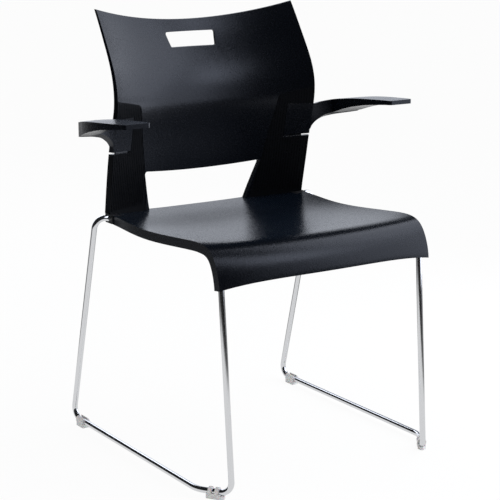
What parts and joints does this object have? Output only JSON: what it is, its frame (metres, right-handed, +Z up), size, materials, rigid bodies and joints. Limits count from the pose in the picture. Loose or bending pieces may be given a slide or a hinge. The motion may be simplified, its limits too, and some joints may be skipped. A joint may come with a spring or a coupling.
{
  "type": "stacking armchair",
  "caption": "Stacking armchair: dished plastic seat, curved plastic back with a hand slot and cantilever arms on bent chromed rod sled legs with clip-on glides.",
  "frame": {"origin": "on the floor under the centre of the chair's bounding box", "axes": "+Z up, -Y to the front of the chair, +X to the sitter's left"},
  "size_m": [0.6486, 0.5329, 0.8255],
  "materials": {
    "shell_plastic": "fine-textured black moulding",
    "arm_plastic": "fine-textured black moulding",
    "block_plastic": "black moulding",
    "chrome": "bright chrome plate",
    "steel": "black powder coat",
    "screw_steel": "zinc-plated steel",
    "bumper_plastic": "black moulding",
    "glide_plastic": "cloudy grey moulding"
  },
  "bodies": {
    "root": {"seat_shell": "shell_plastic", "back_shell": "shell_plastic", "arm_left": "arm_plastic", "arm_right": "arm_plastic", "side_rod_left": "chrome", "side_rod_right": "chrome", "front_cross_rod": "chrome", "rear_cross_rod": "chrome", "rear_corner_block_left": "block_plastic", "rear_corner_block_right": "block_plastic", "back_support_left": "steel", "back_support_right": "steel", "seat_plate_front_left": "steel", "seat_plate_front_right": "steel", "seat_plate_rear_left": "steel", "seat_plate_rear_right": "steel", "seat_screws": "screw_steel", "back_screws": "screw_steel", "arm_screws": "screw_steel", "stacking_bumper_left": "bumper_plastic", "stacking_bumper_right": "bumper_plastic", "rear_glide_left": "glide_plastic", "rear_glide_right": "glide_plastic", "front_glide_left": "glide_plastic", "front_glide_right": "glide_plastic"}
  },
  "joints": []
}
